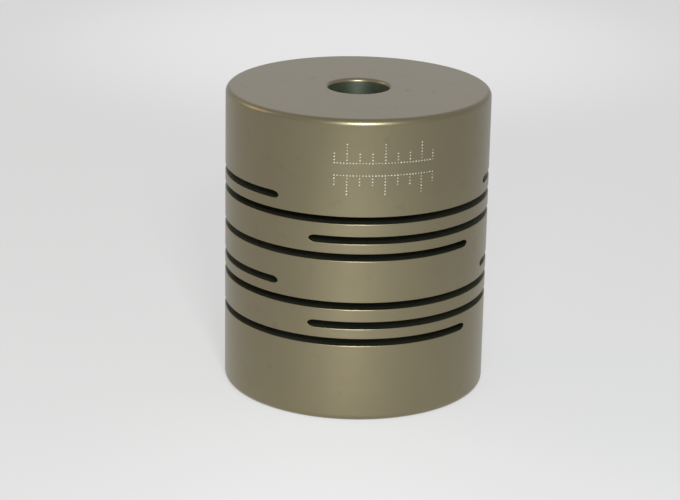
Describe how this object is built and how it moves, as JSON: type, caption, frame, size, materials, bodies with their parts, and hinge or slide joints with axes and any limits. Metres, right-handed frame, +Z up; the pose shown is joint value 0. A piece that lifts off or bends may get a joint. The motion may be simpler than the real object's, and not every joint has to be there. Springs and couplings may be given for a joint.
{
  "type": "flexible slit coupling",
  "caption": "Cylindrical flexible shaft coupling cut with groups of parallel slits that leave offset webs, with a plain through bore and set screws in both hubs.",
  "frame": {"origin": "centre of the lower end face, on the bore's axis", "axes": "+Z up along the bore's axis; +X and +Y along the set screws of each hub, outwards; the outermost web of each slit group faces -Y"},
  "size_m": [0.026, 0.026, 0.03],
  "materials": {
    "anodised_aluminium": "satin champagne anodised, fine turned grain",
    "black_oxide_steel": "black oxide, lightly oiled"
  },
  "bodies": {
    "root": {"coupling_body": "anodised_aluminium", "upper_set_screw_x": "black_oxide_steel", "upper_set_screw_y": "black_oxide_steel", "lower_set_screw_x": "black_oxide_steel", "lower_set_screw_y": "black_oxide_steel"}
  },
  "joints": []
}
